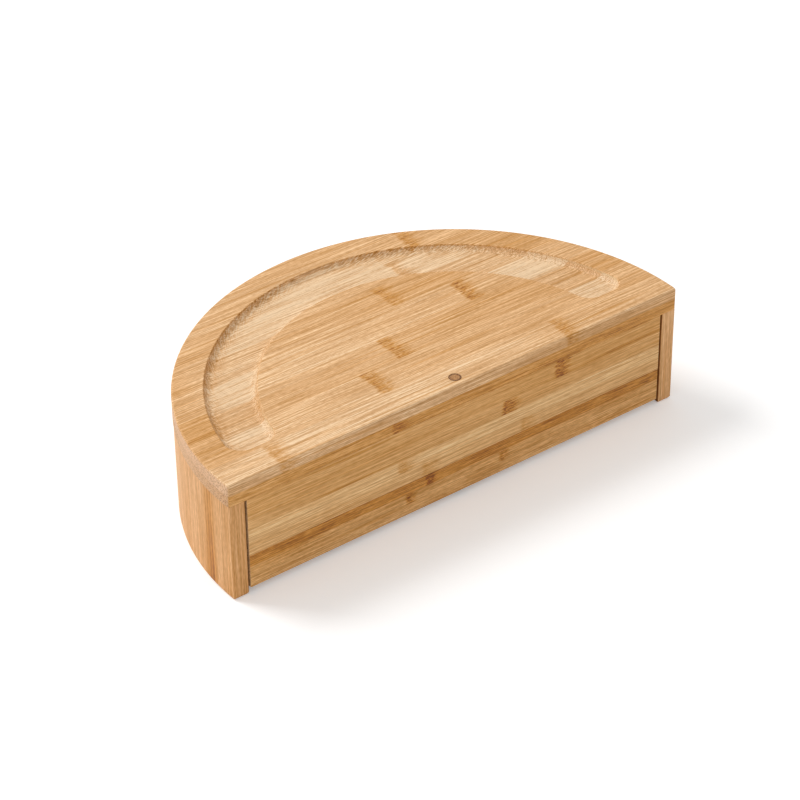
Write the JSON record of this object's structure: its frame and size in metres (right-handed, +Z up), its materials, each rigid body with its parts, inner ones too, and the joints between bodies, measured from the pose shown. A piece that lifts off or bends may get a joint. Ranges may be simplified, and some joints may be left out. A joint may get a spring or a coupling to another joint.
{
  "type": "swivel serving board",
  "caption": "Half-round bamboo serving board with a ring groove in its top, a curved side wall and a tray that turns on a hidden pin and swings out from under it.",
  "frame": {"origin": "on the table, under the middle of the closed board's bounding box; the pin's axis is 71.6 mm in front of it", "axes": "+X along the straight front edge, +Y towards the curved back, +Z up"},
  "size_m": [0.3, 0.1568, 0.0735],
  "materials": {
    "board_top_bamboo": "planed flat-pressed bamboo, light oil",
    "board_under_bamboo": "planed flat-pressed bamboo, light oil",
    "wall_bamboo": "bent vertical-grain bamboo, light oil",
    "tray_front_bamboo": "planed bamboo, light oil",
    "tray_base_bamboo": "planed caramelised bamboo, light oil",
    "tray_wall_bamboo": "bent vertical-grain bamboo, light oil",
    "dowel_bamboo": "turned bamboo",
    "plug_bamboo": "bamboo end grain, sanded flush",
    "screw_steel": "zinc-plated steel",
    "bush_nylon": "natural nylon",
    "glide_nylon": "dark brown nylon"
  },
  "bodies": {
    "housing": {"board_top_ply": "board_top_bamboo", "board_under_ply": "board_under_bamboo", "curved_wall": "wall_bamboo", "wall_dowels": "dowel_bamboo", "pivot_plug": "plug_bamboo", "pivot_screw": "screw_steel", "pivot_washer": "screw_steel", "pivot_nut": "screw_steel"},
    "tray": {"tray_front": "tray_front_bamboo", "tray_base_ply_1": "tray_base_bamboo", "tray_base_ply_2": "tray_base_bamboo", "tray_base_ply_3": "tray_base_bamboo", "tray_wall": "tray_wall_bamboo", "tray_divider": "tray_front_bamboo", "front_dowels": "dowel_bamboo", "rim_dowels": "dowel_bamboo", "upper_bush": "bush_nylon", "lower_bush": "bush_nylon", "tray_glides": "glide_nylon"}
  },
  "joints": [
    {"name": "tray_swing", "type": "hinge", "parent": "housing", "child": "tray", "pos_m": [0, -0.07162, 0], "axis": [0, 0, 1], "continuous": true}
  ]
}
